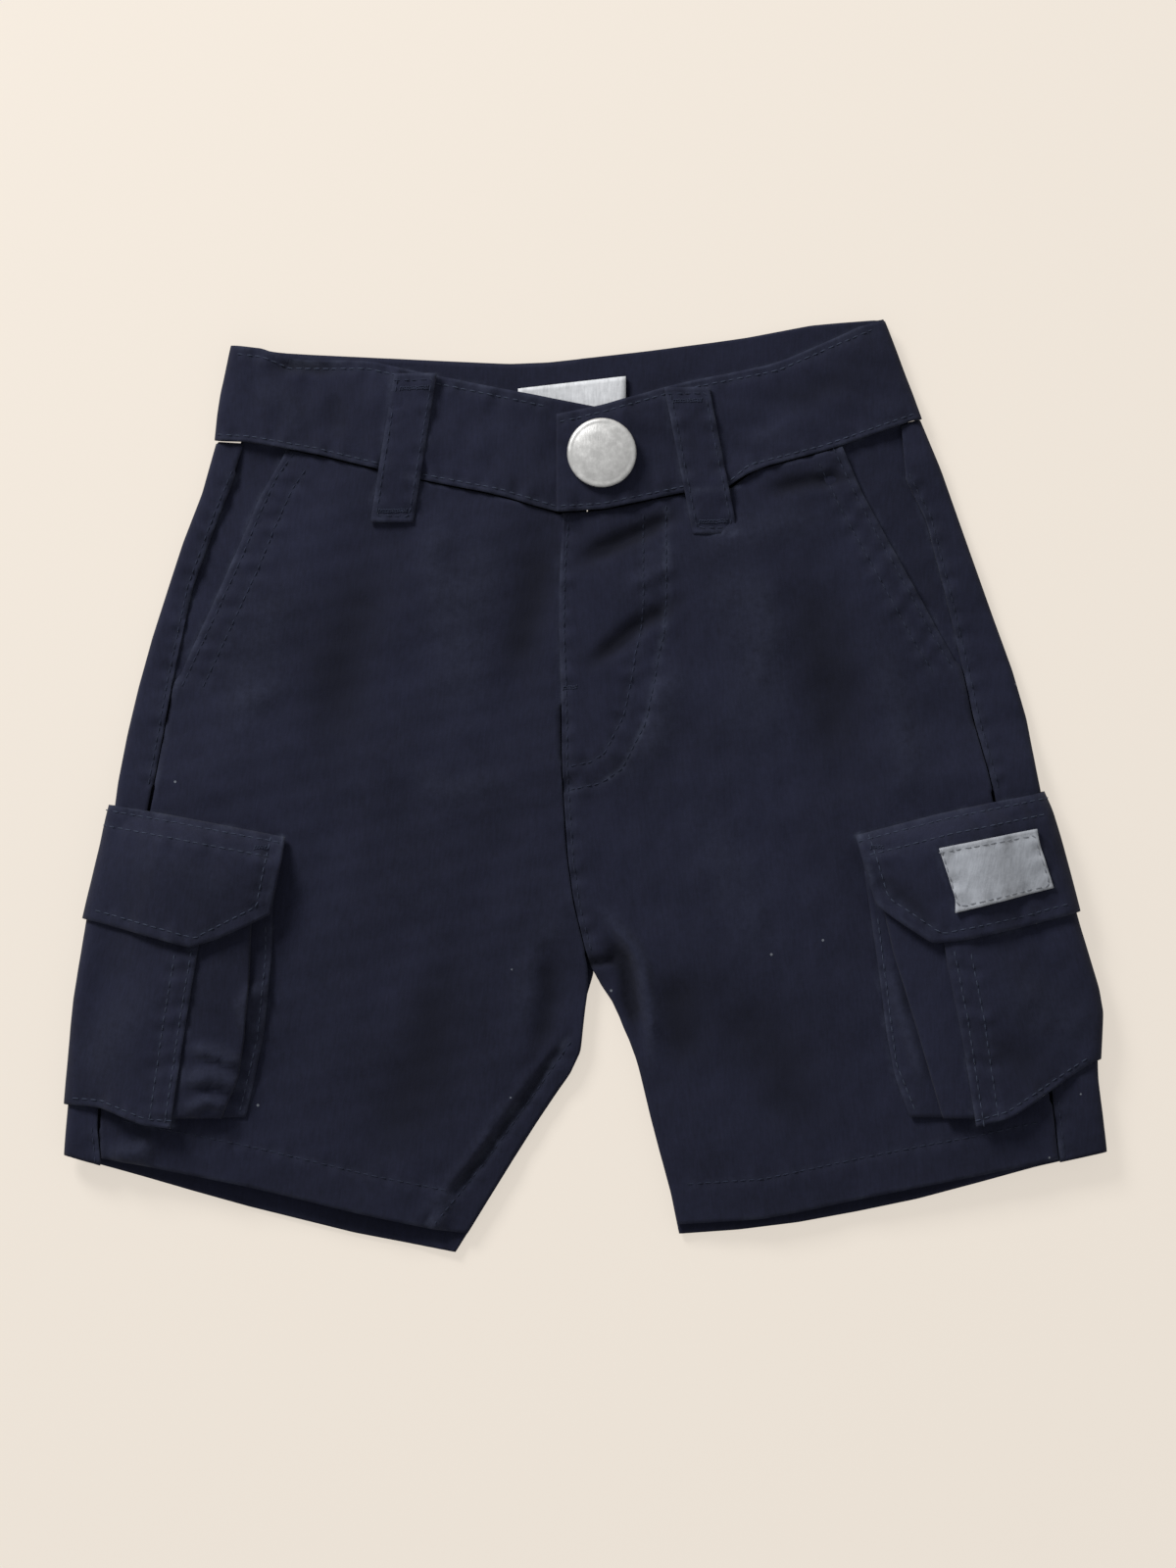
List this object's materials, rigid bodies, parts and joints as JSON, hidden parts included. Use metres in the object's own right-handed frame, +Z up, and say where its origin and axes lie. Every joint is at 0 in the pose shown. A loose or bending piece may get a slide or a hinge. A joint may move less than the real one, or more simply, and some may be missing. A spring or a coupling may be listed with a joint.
{
  "type": "baby cargo shorts",
  "caption": "Baby cargo shorts in navy twill, laid flat, with a lapped fly, tack button, belt loops and bellows side pockets under pointed flaps.",
  "frame": {"origin": "middle of the footprint, on the plane that the shorts lie on", "axes": "+X to the wearer's left, +Y from the hems to the waist, +Z up out of the front"},
  "size_m": [0.2972, 0.2662, 0.0169],
  "materials": {
    "navy_twill": "washed cotton twill",
    "grey_patch": "matte woven",
    "white_label": "matte woven",
    "silver_button": "satin"
  },
  "bodies": {
    "root": {"front_right": "navy_twill", "front_left": "navy_twill", "back_right": "navy_twill", "back_left": "navy_twill", "waistband_front_right": "navy_twill", "waistband_front_left": "navy_twill", "waistband_back": "navy_twill", "hip_facing_right": "navy_twill", "hip_facing_left": "navy_twill", "belt_loop_right": "navy_twill", "belt_loop_left": "navy_twill", "cargo_pocket_right": "navy_twill", "cargo_pocket_left": "navy_twill", "cargo_gusset_right": "navy_twill", "cargo_gusset_left": "navy_twill", "cargo_flap_right": "navy_twill", "cargo_flap_left": "navy_twill", "flap_patch": "grey_patch", "neck_label": "white_label", "button": "silver_button"}
  },
  "joints": []
}
